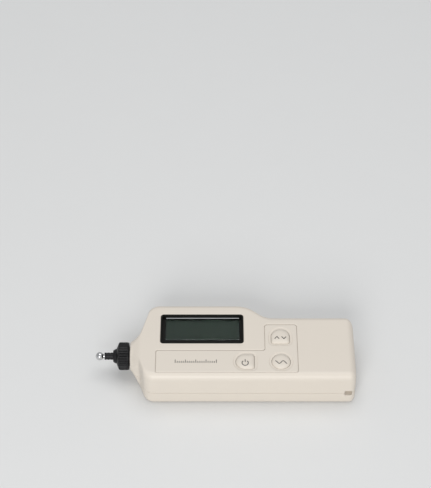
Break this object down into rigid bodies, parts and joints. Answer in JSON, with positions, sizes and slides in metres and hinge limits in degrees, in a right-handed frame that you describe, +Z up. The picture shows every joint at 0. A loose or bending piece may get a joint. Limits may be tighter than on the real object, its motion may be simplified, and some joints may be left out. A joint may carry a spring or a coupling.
{
  "type": "vibration meter",
  "caption": "Handheld vibration meter with a blank display, three crowned keys, and a probe with a knurled collar and a ball tip, lying on its back.",
  "frame": {"origin": "centre of the bounding box's bottom face, on the plane that the meter's back rests on", "axes": "+X from the probe to the butt end, +Y from the straight near side to the bulged far side, +Z up through the display face"},
  "size_m": [0.185, 0.068, 0.0312],
  "materials": {
    "case_plastic": "fine satin grain",
    "black_frame": "satin",
    "clear_window": "polished",
    "display_glass": "polished",
    "rear_glass": "polished",
    "white_plastic": "matt",
    "elastic_strip": "matt",
    "circuit_board": "gloss",
    "black_resin": "matt",
    "blue_sleeve": "gloss",
    "plain_steel": "turned",
    "ceramic": "fired",
    "heavy_metal": "turned",
    "black_rubber": "matt",
    "lead_sleeve": "satin",
    "knurled_black": "satin",
    "probe_black": "blackened",
    "bright_ball": "polished",
    "battery_jacket": "satin"
  },
  "bodies": {
    "meter": {"front_shell": "case_plastic", "rear_shell": "case_plastic", "keypad_overlay": "case_plastic", "lcd_bezel": "black_frame", "lcd_lens": "clear_window", "lcd_front_glass": "display_glass", "lcd_rear_glass": "rear_glass", "lcd_holder": "white_plastic", "contact_strips": "elastic_strip", "main_board": "circuit_board", "key_switches": "black_resin", "board_chips": "black_resin", "output_jack": "black_resin", "battery_snap": "black_resin", "board_capacitors": "blue_sleeve", "trim_pots": "blue_sleeve", "case_screws": "plain_steel", "board_screws": "plain_steel", "pickup_cap": "plain_steel", "pickup_bolt": "plain_steel", "battery_terminals": "plain_steel", "piezo_discs": "ceramic", "seismic_mass": "heavy_metal", "isolation_ring": "black_rubber", "pickup_lead": "lead_sleeve", "battery_leads": "lead_sleeve", "pickup_housing": "probe_black", "battery": "battery_jacket"},
    "measure_key": {"measure_key": "case_plastic"},
    "mode_key": {"mode_key": "case_plastic"},
    "range_key": {"range_key": "case_plastic"},
    "battery_door": {"battery_door": "case_plastic"},
    "collar": {"knurled_collar": "knurled_black"},
    "probe": {"probe_neck": "probe_black", "probe_ball": "bright_ball"}
  },
  "joints": [
    {"name": "measure_press", "type": "slide", "parent": "meter", "child": "measure_key", "axis": [0, 0, -1], "range_m": [0, 0.0006], "stiffness_N_per_m": 3000},
    {"name": "mode_press", "type": "slide", "parent": "meter", "child": "mode_key", "axis": [0, 0, -1], "range_m": [0, 0.0006], "stiffness_N_per_m": 3000},
    {"name": "range_press", "type": "slide", "parent": "meter", "child": "range_key", "axis": [0, 0, -1], "range_m": [0, 0.0006], "stiffness_N_per_m": 3000},
    {"name": "door_slide", "type": "slide", "parent": "meter", "child": "battery_door", "axis": [1, 0, 0], "range_m": [0, 0.055]},
    {"name": "collar_turn", "type": "hinge", "parent": "meter", "child": "collar", "pos_m": [-0.073, -0.005, 0.0173], "axis": [1, 0, 0], "continuous": true},
    {"name": "probe_turn", "type": "hinge", "parent": "meter", "child": "probe", "pos_m": [-0.073, -0.005, 0.0173], "axis": [1, 0, 0], "continuous": true}
  ]
}
